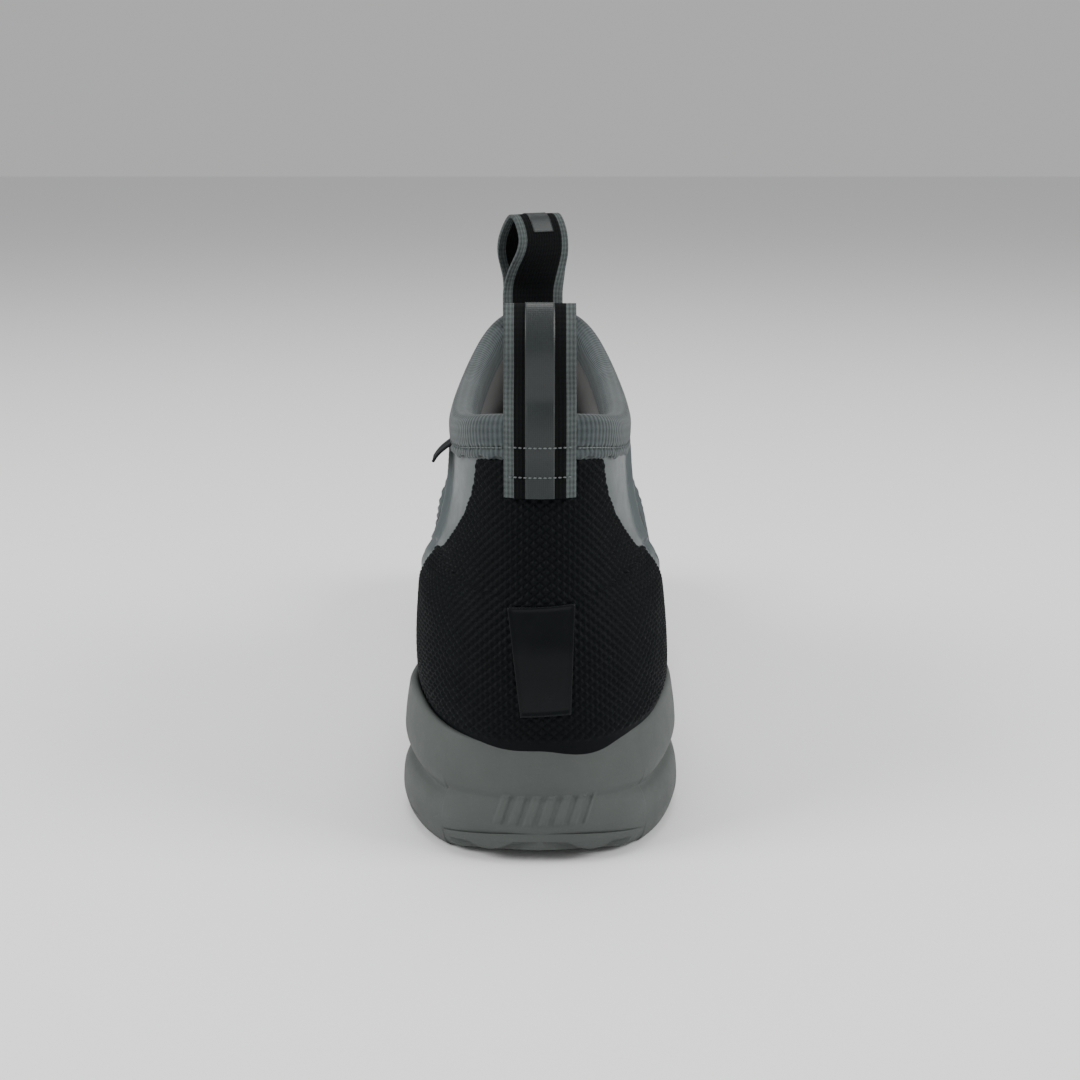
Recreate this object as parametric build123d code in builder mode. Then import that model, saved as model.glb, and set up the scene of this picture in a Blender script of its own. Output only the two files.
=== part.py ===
"""Ankle-height deck boot for the right foot, with a pull loop at the back and one at the front.

Millimetres. X points to the outer side of the foot, Y to the toe and Z up. The ground is Z = 0 and
the origin lies on it, under the middle of the sole. The upper is a stack of thin layers that share
one skin: each layer is the skin moved inwards by its own two depths.
"""
import math
import os

from build123d import *

# ---- Heights and thicknesses ----
FOOT_LEVEL = 34.0            # top of the midsole, where the upper stands
OUTSOLE_THICKNESS = 5.0
GROOVE_DEPTH = 2.6
BOARD_THICKNESS = 2.0
FOOTBED_THICKNESS = 4.5
GAP = 0.1                    # glue gap between pieces of one body
BODY_GAP = 0.35              # clearance under the loose footbed
FOOTBED_SIDE_GAP = 1.1

# ---- Depths of the layers under the skin ----
OVERLAY_PROUD = 1.7
STRAP_PROUD = 3.1
THREAD_PROUD = 0.3
SHELL_DEPTH = 1.8
PADDING_DEPTH = 4.5
LINING_DEPTH = 5.8
INNER_TAPE_DEPTH = 7.0

# ---- Pull loops ----
WEBBING_WIDTH = 20.0
WEBBING_THICKNESS = 1.3
TAPE_WIDTH = 8.3
TAPE_THICKNESS = 0.4
LOOP_HEIGHT = 25.5
LOOP_NECK = 4.2              # half the distance between the two legs at the pivot
LOOP_BULGE = 6.6
REAR_PIVOT = (0.0, -134.6, 136.6)
FRONT_PIVOT = (-2.5, -14.0, 154.5)
FRONT_TWIST = 15.0           # how far the front loop is turned about the vertical

# ---- Collar ----
BINDING_DEPTH = 10.0
BINDING_ROLL = 1.2
LABEL_WIDTH = 12.0
LABEL_LENGTH = 5.0
LABEL_THICKNESS = 0.9
LABEL_PIVOT = (-29.6, -97.0, 114.0)
LABEL_LEAN = 35.0

# Cross-sections of the upper from the collar to the toe. Each plane holds the X direction and
# runs from a point on the heel or sole side to a point on the shin or instep side:
# back (y, z), front (y, z), half width, centre x, where it is widest (0 back, 1 front),
# fullness of the back and front halves, and how far it faces the toe.
SECTIONS = [
    ((-137.5, 138.0), (-17.0, 162.0), 27.8, 0.0, 0.40, 2.4, 2.8, 0.0),
    ((-137.0, 127.0), (-11.0, 149.0), 27.2, 0.0, 0.40, 2.4, 2.7, 0.0),
    ((-136.5, 112.0), (-4.0, 135.0), 26.4, 0.0, 0.40, 2.4, 2.5, 0.0),
    ((-138.0, 94.0), (8.0, 118.0), 27.8, 0.0, 0.38, 2.3, 2.3, 0.0),
    ((-141.0, 78.0), (24.0, 103.5), 31.8, 0.0, 0.34, 2.2, 2.2, 0.0),
    ((-143.0, 70.0), (30.5, 98.5), 34.8, 0.0, 0.31, 2.2, 2.2, 0.0),
    ((-145.0, 61.0), (37.0, 93.5), 36.7, 0.2, 0.29, 2.2, 2.2, 0.0),
    ((-146.5, 36.0), (50.0, 84.5), 37.6, 0.8, 0.27, 2.3, 2.2, 0.0),
    ((-143.0, 5.0), (58.0, 79.5), 35.6, 2.8, 0.443, 3.0, 2.2, 0.0),
    ((-136.0, -10.0), (65.0, 77.0), 34.2, 4.5, 0.552, 3.2, 2.2, 0.0),
    ((-67.0, -10.0), (72.0, 74.5), 39.6, 3.0, 0.568, 3.4, 2.2, 0.0),
    ((3.0, -10.0), (80.0, 72.0), 40.0, 1.2, 0.585, 3.4, 2.25, 0.0),
    ((60.0, -10.0), (90.0, 69.5), 39.4, -0.4, 0.604, 3.4, 2.3, 0.0),
    ((104.0, -10.0), (104.0, 66.0), 38.0, -2.0, 0.627, 3.4, 2.35, 0.2),
    ((121.0, -10.0), (121.0, 61.0), 33.6, -3.5, 0.667, 3.4, 2.4, 0.45),
    ((131.0, -10.0), (131.0, 56.0), 28.0, -4.5, 0.711, 3.4, 2.4, 0.7),
    ((138.0, -10.0), (138.0, 49.5), 20.5, -5.5, 0.780, 3.2, 2.4, 0.9),
    ((142.3, -10.0), (142.3, 43.0), 10.5, -6.0, 0.870, 3.0, 2.4, 1.0),
]
POINTS_PER_SECTION = 16

# Plan of the sole at its widest, once round from the back of the heel by the outer side.
SOLE_PLAN = [
    (0.0, -150.0), (29.0, -138.5), (43.0, -105.0), (42.0, -60.0), (42.0, -15.0), (43.6, 20.0),
    (44.8, 62.0), (42.0, 104.0), (26.0, 137.5), (-7.0, 150.0), (-34.0, 139.0), (-43.4, 106.0),
    (-44.8, 66.0), (-41.6, 18.0), (-36.0, -30.0), (-38.5, -65.0), (-43.0, -105.0), (-29.0, -138.5),
]

# Side wall of the sole: height, how far it lies inside the plan, and extra depth at the sides.
SOLE_WALL = [
    (-1.0, 4.2, 0.0), (3.0, 1.2, 0.0), (7.0, 0.0, 0.0), (13.0, 0.4, 0.0), (17.5, 1.2, 1.6),
    (21.5, 1.0, 0.5), (27.0, 1.1, 0.2), (34.0, 1.9, 0.0), (47.0, 3.4, 0.0),
]

# Side views as (y, z): where the sole meets the ground, the upper edge of the sole's cup, the top
# of the collar, the front edge of the heel overlay, the top edge of the toe bumper and the gore.
TREAD_LINE = [(-152.0, 5.5), (-136.0, 1.2), (-118.0, 0.0), (80.0, 0.0), (112.0, 1.6), (152.0, 9.5)]
CUP_LINE = [
    (-156.0, 34.6), (-130.0, 38.5), (-104.0, 42.0), (-40.0, 41.0), (10.0, 37.0), (70.0, 35.4),
    (115.0, 37.0), (156.0, 41.0),
]
TOP_LINE = [
    (-160.0, 131.0), (-138.0, 130.0), (-118.0, 126.5), (-97.0, 125.0), (-60.0, 127.0),
    (-36.0, 132.5), (-17.0, 142.0), (-2.0, 153.5), (12.0, 166.0),
]
OVERLAY_FRONT = [(-94.0, 82.0), (-94.0, 73.0), (-84.0, 63.5), (-68.0, 53.5), (-54.0, 38.0)]
OVERLAY_REAR = [
    (17.5, 125.0), (18.5, 110.0), (21.0, 100.0), (25.5, 91.0), (31.0, 82.5), (36.5, 76.0),
    (48.0, 72.5),
]
BUMPER_TOP = [(56.0, 36.0), (76.0, 46.0), (100.0, 54.0), (125.0, 60.0), (156.0, 66.0)]
GORE = [
    (-86.0, 146.0), (-88.0, 120.0), (-93.0, 98.0), (-90.0, 83.0), (-77.0, 72.0), (-60.0, 68.5),
    (-44.0, 75.0), (-35.0, 92.0), (-34.0, 116.0), (-38.0, 146.0),
]
GORE_FRAME_WIDTH = 3.6
GORE_FRAME_PROUD = 1.2
BADGE = [(-9.2, 76.0), (9.8, 77.0), (8.8, 45.2), (-5.6, 44.4)]
COUNTER_FRONT = -72.0
COUNTER_TOP = 72.0
PUFF_BACK = 98.0
SEAM_DROP = -8.4             # seam of the binding, below the top line
THREAD_WIDTH = 0.6
REAR_OUTER_END = (107.5, 131.0)
REAR_INNER_END = (112.5, 131.0)
FRONT_OUTER_END = (124.0, 149.0)
FRONT_INNER_END = (128.0, 145.5)
REAR_SEAMS = (113.2, 121.7)
FRONT_SEAMS = (129.0, 138.0)
SHANK_HEIGHT = 26.0
SHANK_THICKNESS = 1.5
SHANK_LENGTH = 110.0
SHANK_WIDTH = 26.0
SHANK_MIDDLE = -50.0
GROOVE_WIDTH = 2.4
GROOVE_ROWS = 26
GROOVE_PITCH = 11.5
GROOVE_START = -141.0
GROOVE_ANGLE = 22.0
HEEL_POD_FRONT = -52.0
FOREFOOT_POD_BACK = -14.0
REACH = 75.0                 # longer than the boot is wide, for cuts straight through


# ---- The shared skin ----
def section_plane(back, front):
    """Plane through both points and the X direction, with its origin at the back point."""
    along = Vector(0, front[0] - back[0], front[1] - back[1]).normalized()
    return Plane(origin=(0, back[0], back[1]), x_dir=(1, 0, 0), z_dir=Vector(1, 0, 0).cross(along))


def oval_points(length, half_width, centre, widest, back_fullness, front_fullness):
    """Points round an oval that starts at the back point and is fullest at the widest place."""
    points = []
    for step in range(POINTS_PER_SECTION + 1):
        angle = 2 * math.pi * step / POINTS_PER_SECTION
        rear = math.cos(angle) > 0
        power = 2 / (back_fullness if rear else front_fullness)
        reach = abs(math.cos(angle)) ** power
        place = widest * (1 - reach) if rear else widest + (1 - widest) * reach
        side = math.copysign(abs(math.sin(angle)) ** power, math.sin(angle))
        points.append((centre + half_width * side, place * length))
    return points


def skin(depth):
    """The closed outer form of the upper, moved inwards by depth (outwards if negative)."""
    rings = []
    for back, front, half_width, centre, widest, *fullness, toe in SECTIONS:
        sideways = depth * math.sqrt(1 - toe * toe)
        plane = section_plane(back, front)
        plane.origin = plane.origin + plane.y_dir * sideways - Vector(0, depth * toe, 0)
        length = math.dist(back, front) - 2 * sideways
        outline = oval_points(length, half_width - sideways, centre, widest, *fullness)
        points = [plane.from_local_coords(Vector(x, y, 0)) for x, y in outline]
        half = POINTS_PER_SECTION // 2
        rings.append(Wire([Edge.make_spline(points[:half + 1]), Edge.make_spline(points[half:])]))
    return Solid.make_loft(rings, ruled=True)


def side_prism(outline_points, closing_points):
    """A side view drawn as a spline closed by straight lines, and extruded right across."""
    with BuildPart() as prism:
        with BuildSketch(Plane.YZ):
            with BuildLine():
                Spline(*outline_points)
                Polyline(outline_points[-1], *closing_points, outline_points[0])
            make_face()
        extrude(amount=REACH, both=True)
    return prism.part


def shifted(line, rise):
    """The same side view line, moved up by rise."""
    return [(y, z + rise) for y, z in line]


def below(line, rise=0.0):
    """Everything under a side view line."""
    moved = shifted(line, rise)
    return side_prism(moved, [(moved[-1][0], -40.0), (moved[0][0], -40.0)])


def above(line, rise=0.0):
    """Everything over a side view line."""
    moved = shifted(line, rise)
    return side_prism(moved, [(moved[-1][0], 230.0), (moved[0][0], 230.0)])


# ---- Skins and cutters that several pieces share ----
strap_face = skin(-STRAP_PROUD)
strap_back = skin(-OVERLAY_PROUD - GAP)
overlay_face = skin(-OVERLAY_PROUD)
overlay_back = skin(-GAP)
shell_face = skin(0.0)
shell_back = skin(SHELL_DEPTH)
inner_tape_face = skin(LINING_DEPTH + GAP)
inner_tape_back = skin(INNER_TAPE_DEPTH)

under_collar = below(TOP_LINE)
over_cup = above(CUP_LINE, GAP)
under_binding = below(TOP_LINE, -BINDING_DEPTH - GAP)


def block(x_span, y_span, z_span):
    """A block between two x, two y and two z, for keeping one region of a layer."""
    spans = (x_span, y_span, z_span)
    with BuildPart() as region:
        with Locations(tuple((low + high) / 2 for low, high in spans)):
            Box(*(high - low for low, high in spans))
    return region.part


ANYWHERE = (-REACH, REACH)
upper_zone = block(ANYWHERE, (-170, 170), (FOOT_LEVEL, 200))
outer_half = block((0, REACH), (-170, 170), (0, 200))
inner_half = block((-REACH, 0), (-170, 170), (0, 200))


def patch(face, back, *regions):
    """The part of the layer between two skins that lies in every region."""
    with BuildPart() as piece:
        add(face)
        for region in regions:
            add(region, mode=Mode.INTERSECT)
        add(back, mode=Mode.SUBTRACT)
    return piece.part


def gore_prism(grow):
    """The side view of the gore, grown or shrunk all round, straight through the boot."""
    with BuildPart() as prism:
        with BuildSketch(Plane.YZ):
            with BuildLine():
                Polyline(*GORE, close=True)
            make_face()
            if grow:
                offset(amount=grow, kind=Kind.INTERSECTION, mode=Mode.REPLACE)
        extrude(amount=REACH, both=True)
    return prism.part


def rear_prism(points):
    """A shape drawn as seen from behind, cut through the back of the boot."""
    with BuildPart() as prism:
        with BuildSketch(Plane.XZ.offset(70)):
            with BuildLine():
                Polyline(*points, close=True)
            make_face()
        extrude(amount=100)
    return prism.part


def keep(name, part):
    """Label a finished piece and write it to its own file."""
    part.label = name
    export_step(part, f"parts/{name}.step")


os.makedirs("parts", exist_ok=True)

# ---- Upper: shell, padding layer and lining ----
with BuildPart() as upper_shell:
    add(patch(shell_face, shell_back, upper_zone, under_collar))
    add(patch(skin(-GORE_FRAME_PROUD), shell_back, gore_prism(GORE_FRAME_WIDTH), under_binding))
    add(gore_prism(0), mode=Mode.SUBTRACT)
keep("upper_shell", upper_shell.part)

gore_zone = gore_prism(-GAP)
with BuildPart() as gore_outer:
    add(patch(shell_face, shell_back, gore_zone, under_collar, outer_half))
keep("gore_lateral", gore_outer.part)

with BuildPart() as gore_inner:
    add(patch(shell_face, shell_back, gore_zone, under_collar, inner_half))
keep("gore_medial", gore_inner.part)

padding_face = skin(SHELL_DEPTH + GAP)
padding_back = skin(PADDING_DEPTH)
counter_zone = block(ANYWHERE, (-170, COUNTER_FRONT), (FOOT_LEVEL, COUNTER_TOP))
puff_zone = block(ANYWHERE, (PUFF_BACK, 170), (FOOT_LEVEL, 200))
with BuildPart() as heel_counter:
    add(patch(padding_face, padding_back, counter_zone))
keep("heel_counter", heel_counter.part)

with BuildPart() as toe_puff:
    add(patch(padding_face, padding_back, puff_zone))
keep("toe_puff", toe_puff.part)

with BuildPart() as foam_layer:
    add(patch(padding_face, padding_back, upper_zone, under_collar))
    add(block(ANYWHERE, (-170, COUNTER_FRONT + GAP), (0, COUNTER_TOP + GAP)), mode=Mode.SUBTRACT)
    add(block(ANYWHERE, (PUFF_BACK - GAP, 170), (0, 200)), mode=Mode.SUBTRACT)
keep("foam_layer", foam_layer.part)

lining_back = skin(LINING_DEPTH)
with BuildPart() as lining_bootie:
    add(patch(skin(PADDING_DEPTH + GAP), lining_back, upper_zone, under_collar))
keep("lining_bootie", lining_bootie.part)

# ---- Overlays ----
overlay_outline = [*OVERLAY_REAR, (REACH, OVERLAY_REAR[-1][1]), (REACH, 0)]
overlay_outline += [(-x, z) for x, z in reversed(overlay_outline)]
overlay_side = side_prism(OVERLAY_FRONT, [(-170, 30), (-170, 150), (OVERLAY_FRONT[0][0], 150)])
with BuildPart() as heel_overlay:
    add(patch(overlay_face, overlay_back, rear_prism(overlay_outline), overlay_side, over_cup,
              under_binding))
keep("heel_overlay", heel_overlay.part)

with BuildPart() as toe_bumper:
    add(patch(overlay_face, overlay_back, below(BUMPER_TOP), over_cup))
keep("toe_bumper", toe_bumper.part)

with BuildPart() as heel_badge:
    add(patch(strap_face, strap_back, rear_prism(BADGE)))
keep("heel_badge", heel_badge.part)

# ---- Collar binding and its seam ----
with BuildPart() as collar_wall:
    add(overlay_back)
    add(inner_tape_face, mode=Mode.SUBTRACT)
    add(below(TOP_LINE, GAP), mode=Mode.INTERSECT)

with BuildPart() as collar_binding:
    add(patch(overlay_face, inner_tape_back, below(TOP_LINE, BINDING_ROLL),
              above(TOP_LINE, -BINDING_DEPTH)))
    add(collar_wall.part, mode=Mode.SUBTRACT)
keep("collar_binding", collar_binding.part)

strap_half = WEBBING_WIDTH / 2
front_middle = FRONT_PIVOT[0]
rear_span = (-strap_half, strap_half)
front_span = (front_middle - strap_half, front_middle + strap_half)
seam_low = below(TOP_LINE, SEAM_DROP + THREAD_WIDTH)
with BuildPart() as binding_stitching:
    add(patch(skin(-OVERLAY_PROUD - GAP - THREAD_PROUD), strap_back, seam_low,
              above(TOP_LINE, SEAM_DROP)))
    for low, high in (rear_span, front_span):
        add(block((low - BODY_GAP, high + BODY_GAP), (-170, 60), (90, 200)), mode=Mode.SUBTRACT)
keep("binding_stitching", binding_stitching.part)


# ---- Sewn ends of the pull loops ----
inner_strap_face = skin(INNER_TAPE_DEPTH + GAP)
inner_strap_back = skin(INNER_TAPE_DEPTH + GAP + WEBBING_THICKNESS)
thread_face = skin(-STRAP_PROUD - GAP - THREAD_PROUD)
thread_back = skin(-STRAP_PROUD - GAP)
behind = (-170, -90)
ahead = (-45, 60)
STRAP_ENDS = {
    "rear_strap_outer_end": (strap_face, strap_back, rear_span, behind, REAR_OUTER_END),
    "rear_strap_inner_end": (inner_strap_face, inner_strap_back, rear_span, behind, REAR_INNER_END),
    "front_strap_outer_end": (strap_face, strap_back, front_span, ahead, FRONT_OUTER_END),
    "front_strap_inner_end": (inner_strap_face, inner_strap_back, front_span, ahead,
                              FRONT_INNER_END),
}
for end_name, (end_face, end_back, x_span, y_span, z_span) in STRAP_ENDS.items():
    with BuildPart() as strap_end:
        add(patch(end_face, end_back, block(x_span, y_span, z_span)))
    keep(end_name, strap_end.part)

SEAMS = {
    "rear_strap_stitching": (rear_span, behind, REAR_SEAMS),
    "front_strap_stitching": (front_span, ahead, FRONT_SEAMS),
}
for seam_name, (x_span, y_span, heights) in SEAMS.items():
    thread_span = (x_span[0] + 1, x_span[1] - 1)
    with BuildPart() as seam:
        for height in heights:
            row = block(thread_span, y_span, (height, height + THREAD_WIDTH))
            add(patch(thread_face, thread_back, row))
    keep(seam_name, seam.part)


# ---- Pull loops ----
def loop_outline(extra):
    """The teardrop that the webbing follows in side view, grown by extra."""
    right = [(LOOP_NECK + extra, -0.6), (LOOP_BULGE + extra, 10.0), (4.4 + extra, 19.0)]
    left = [(-y, z) for y, z in reversed(right)]
    return [*right, (0.0, LOOP_HEIGHT - WEBBING_THICKNESS / 2 + extra), *left]


def loop_band(pivot, twist, inside, outside, width):
    """A band between two teardrops, open at the bottom, standing on the pivot."""
    turn = math.radians(twist)
    plane = Plane(origin=pivot, x_dir=(-math.sin(turn), math.cos(turn), 0),
                  z_dir=(math.cos(turn), math.sin(turn), 0))
    outer = loop_outline(outside)
    inner = loop_outline(inside)
    with BuildPart() as band:
        with BuildSketch(plane):
            with BuildLine():
                Spline(*outer)
                Spline(*inner)
                Line(outer[0], inner[0])
                Line(outer[-1], inner[-1])
            make_face()
        extrude(amount=width / 2, both=True)
    return band.part


half_web = WEBBING_THICKNESS / 2
for loop_name, loop_pivot, loop_twist in (("rear", REAR_PIVOT, 0.0), ("front", FRONT_PIVOT, FRONT_TWIST)):
    with BuildPart() as pull_loop:
        add(loop_band(loop_pivot, loop_twist, -half_web, half_web, WEBBING_WIDTH))
    keep(f"{loop_name}_pull_loop", pull_loop.part)
    with BuildPart() as loop_tape:
        add(loop_band(loop_pivot, loop_twist, half_web + GAP / 2, half_web + TAPE_THICKNESS, TAPE_WIDTH))
    keep(f"{loop_name}_loop_tape", loop_tape.part)

# ---- Folded side label ----
lean = math.radians(LABEL_LEAN)
label_plane = Plane(origin=LABEL_PIVOT, x_dir=(0, 1, 0), z_dir=(-math.cos(lean), 0, math.sin(lean)))
with BuildPart() as side_label:
    with BuildSketch(label_plane):
        with Locations((0, LABEL_LENGTH / 2)):
            Rectangle(LABEL_WIDTH, LABEL_LENGTH)
    extrude(amount=LABEL_THICKNESS)
keep("side_label", side_label.part)


# ---- Sole ----
def sole_ring(height, inset, side_notch):
    """One level line of the sole: the plan moved inwards, and further in along its sides."""
    points = []
    for index, (x, y) in enumerate(SOLE_PLAN):
        before = SOLE_PLAN[index - 1]
        after = SOLE_PLAN[(index + 1) % len(SOLE_PLAN)]
        normal = Vector(after[1] - before[1], before[0] - after[0]).normalized()
        depth = inset + side_notch * normal.X ** 2
        points.append(Vector(x - depth * normal.X, y - depth * normal.Y, height))
    toe = len(points) // 2
    return Wire([Edge.make_spline(points[:toe + 1]), Edge.make_spline([*points[toe:], points[0]])])


sole_form = Solid.make_loft([sole_ring(*level) for level in SOLE_WALL], ruled=True)

with BuildPart() as shank:
    with BuildSketch(Plane.XY.offset(SHANK_HEIGHT)):
        with Locations((2, SHANK_MIDDLE)):
            SlotOverall(SHANK_LENGTH, SHANK_WIDTH, rotation=90)
    extrude(amount=SHANK_THICKNESS)
keep("shank", shank.part)

with BuildPart() as midsole:
    add(sole_form)
    add(below(CUP_LINE), mode=Mode.INTERSECT)
    add(above(TREAD_LINE, OUTSOLE_THICKNESS + GAP), mode=Mode.INTERSECT)
    with BuildSketch(Plane.XY.offset(SHANK_HEIGHT - GAP)):
        with Locations((2, SHANK_MIDDLE)):
            SlotOverall(SHANK_LENGTH + 2 * GAP, SHANK_WIDTH + 2 * GAP, rotation=90)
    extrude(amount=SHANK_THICKNESS + 2 * GAP, mode=Mode.SUBTRACT)
    with BuildPart(mode=Mode.PRIVATE) as upper_room:
        add(overlay_back)
        add(upper_zone, mode=Mode.INTERSECT)
    add(upper_room.part, mode=Mode.SUBTRACT)
keep("midsole", midsole.part)

with BuildPart() as groove_cutter:
    with BuildSketch(Plane.XY.offset(-5)):
        for row in range(GROOVE_ROWS):
            for side in (-1, 1):
                with Locations(Location((side * 26, GROOVE_START + row * GROOVE_PITCH, 0),
                                        (0, 0, side * GROOVE_ANGLE))):
                    Rectangle(58, GROOVE_WIDTH)
        Rectangle(GROOVE_WIDTH, 262)
    extrude(amount=20)
    add(below(TREAD_LINE, GROOVE_DEPTH), mode=Mode.INTERSECT)

for pod_name, pod_span in (("outsole_heel", (-170, HEEL_POD_FRONT)),
                           ("outsole_forefoot", (FOREFOOT_POD_BACK, 170))):
    with BuildPart() as pod:
        add(sole_form)
        add(block(ANYWHERE, pod_span, (0, 60)), mode=Mode.INTERSECT)
        add(below(TREAD_LINE, OUTSOLE_THICKNESS), mode=Mode.INTERSECT)
        add(above(TREAD_LINE), mode=Mode.INTERSECT)
        add(groove_cutter.part, mode=Mode.SUBTRACT)
    keep(pod_name, pod.part)

# ---- Inside: board and loose footbed ----
board_top = FOOT_LEVEL + BOARD_THICKNESS
with BuildPart() as insole_board:
    add(inner_tape_face)
    add(block(ANYWHERE, (-170, 170), (FOOT_LEVEL + GAP, board_top)), mode=Mode.INTERSECT)
keep("insole_board", insole_board.part)

footbed_base = board_top + BODY_GAP
with BuildPart() as footbed:
    add(skin(LINING_DEPTH + FOOTBED_SIDE_GAP))
    add(block(ANYWHERE, (-170, 170), (footbed_base, footbed_base + FOOTBED_THICKNESS)),
        mode=Mode.INTERSECT)
keep("footbed", footbed.part)
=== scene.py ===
"""Ankle deck boot for the right foot: rubber upper, black textured overlays, knit collar, pull loops."""
import math

import bmesh
import bpy
import numpy as np
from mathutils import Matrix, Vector


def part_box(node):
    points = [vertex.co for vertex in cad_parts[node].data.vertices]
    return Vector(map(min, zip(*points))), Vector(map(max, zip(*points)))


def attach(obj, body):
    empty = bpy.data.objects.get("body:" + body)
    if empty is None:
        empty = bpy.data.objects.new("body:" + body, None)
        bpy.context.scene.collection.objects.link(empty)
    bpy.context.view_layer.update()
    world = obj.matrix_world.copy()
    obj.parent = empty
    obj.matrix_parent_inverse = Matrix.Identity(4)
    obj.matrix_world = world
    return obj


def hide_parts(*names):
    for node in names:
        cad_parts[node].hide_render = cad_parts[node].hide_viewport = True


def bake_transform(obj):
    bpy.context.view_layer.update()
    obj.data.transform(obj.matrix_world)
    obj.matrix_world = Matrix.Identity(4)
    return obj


bl_info = {
    "name": "Ankle deck boot",
    "version": (1, 0, 0),
    "blender": (4, 5, 0),
    "location": "View3D > Sidebar > Boot",
    "description": "Builds the visible pieces of an ankle deck boot round its CAD frame",
    "category": "Object",
}

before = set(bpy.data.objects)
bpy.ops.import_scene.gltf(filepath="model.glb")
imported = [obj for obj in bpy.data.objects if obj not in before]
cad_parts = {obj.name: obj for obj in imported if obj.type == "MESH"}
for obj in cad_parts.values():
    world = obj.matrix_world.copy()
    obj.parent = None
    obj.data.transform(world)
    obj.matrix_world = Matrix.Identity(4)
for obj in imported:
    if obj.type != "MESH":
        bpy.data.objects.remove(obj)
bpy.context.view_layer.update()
MM = 0.001
CROSS_PITCH, CROSS_TOP = 1.5 * MM, 11.0 * MM    # crossed lines low on the sole's wall
BLACK_HALF = 7.2 * MM                           # half width of the webbing inside its grey edges
EDGE_TURN = 2.6                                 # how far the bumper's edges are turned in, in mm

# ---------------------------------------------------------------- shape of the foot form
# back (y, z), front (y, z), half width, centre x, widest place, back and front fullness, toe facing
SECTIONS = np.array([
    (-137.5, 138.0, -17.0, 162.0, 27.8, 0.0, 0.40, 2.4, 2.8, 0.0),
    (-137.0, 127.0, -11.0, 149.0, 27.2, 0.0, 0.40, 2.4, 2.7, 0.0),
    (-136.5, 112.0, -4.0, 135.0, 26.4, 0.0, 0.40, 2.4, 2.5, 0.0),
    (-138.0, 94.0, 8.0, 118.0, 27.8, 0.0, 0.38, 2.3, 2.3, 0.0),
    (-141.0, 78.0, 24.0, 103.5, 31.8, 0.0, 0.34, 2.2, 2.2, 0.0),
    (-143.0, 70.0, 30.5, 98.5, 34.8, 0.0, 0.31, 2.2, 2.2, 0.0),
    (-145.0, 61.0, 37.0, 93.5, 36.7, 0.2, 0.29, 2.2, 2.2, 0.0),
    (-146.5, 36.0, 50.0, 84.5, 37.6, 0.8, 0.27, 2.3, 2.2, 0.0),
    (-143.0, 5.0, 58.0, 79.5, 35.6, 2.8, 0.443, 3.0, 2.2, 0.0),
    (-136.0, -10.0, 65.0, 77.0, 34.2, 4.5, 0.552, 3.2, 2.2, 0.0),
    (-67.0, -10.0, 72.0, 74.5, 39.6, 3.0, 0.568, 3.4, 2.2, 0.0),
    (3.0, -10.0, 80.0, 72.0, 40.0, 1.2, 0.585, 3.4, 2.25, 0.0),
    (60.0, -10.0, 90.0, 69.5, 39.4, -0.4, 0.604, 3.4, 2.3, 0.0),
    (104.0, -10.0, 104.0, 66.0, 38.0, -2.0, 0.627, 3.4, 2.35, 0.2),
    (121.0, -10.0, 121.0, 61.0, 33.6, -3.5, 0.667, 3.4, 2.4, 0.45),
    (131.0, -10.0, 131.0, 56.0, 28.0, -4.5, 0.711, 3.4, 2.4, 0.7),
    (138.0, -10.0, 138.0, 49.5, 20.5, -5.5, 0.780, 3.2, 2.4, 0.9),
    (142.0, -8.0, 142.0, 43.0, 10.5, -6.0, 0.870, 3.0, 2.4, 1.0),
    (143.0, -4.0, 143.0, 38.0, 3.0, -6.2, 0.900, 3.0, 2.4, 1.0),
])
LAST = len(SECTIONS) - 1
TOP_LINE = np.array([
    (-160.0, 131.0), (-138.0, 130.0), (-118.0, 126.5), (-97.0, 125.0), (-60.0, 127.0),
    (-36.0, 132.5), (-17.0, 142.0), (-2.0, 153.5), (12.0, 166.0),
])
CUP_LINE = np.array([
    (-156.0, 34.6), (-130.0, 38.5), (-104.0, 42.0), (-40.0, 41.0), (10.0, 37.0), (70.0, 35.4),
    (115.0, 37.0), (156.0, 41.0),
])
TREAD_LINE = np.array([(-152.0, 5.5), (-136.0, 1.2), (-118.0, 0.0), (80.0, 0.0), (112.0, 1.6), (152.0, 9.5)])
GORE = np.array([
    (-86.0, 146.0), (-88.0, 120.0), (-93.0, 98.0), (-90.0, 83.0), (-77.0, 72.0), (-60.0, 68.5),
    (-44.0, 75.0), (-35.0, 92.0), (-34.0, 116.0), (-38.0, 146.0),
])
BUMPER_TOP = np.array([(56.0, 36.0), (76.0, 46.0), (100.0, 54.0), (125.0, 60.0), (156.0, 66.0)])
# half width of the heel overlay seen from behind, and its front edge seen from the side
OVERLAY_REAR = np.array([
    (72.5, 48.0), (76.0, 36.5), (82.5, 31.0), (91.0, 25.5), (100.0, 21.3), (110.0, 18.6), (125.0, 17.5),
])
OVERLAY_FRONT = np.array([
    (34.0, -48.0), (43.0, -55.0), (53.5, -68.0), (63.5, -83.0), (72.0, -92.5), (79.0, -98.0), (86.0, -102.0),
])
SOLE_PLAN = np.array([
    (0.0, -150.0), (29.0, -138.5), (43.0, -105.0), (42.0, -60.0), (42.0, -15.0), (43.6, 20.0),
    (44.8, 62.0), (42.0, 104.0), (26.0, 137.5), (-7.0, 150.0), (-34.0, 139.0), (-43.4, 106.0),
    (-44.8, 66.0), (-41.6, 18.0), (-36.0, -30.0), (-38.5, -65.0), (-43.0, -105.0), (-29.0, -138.5),
])


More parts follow.
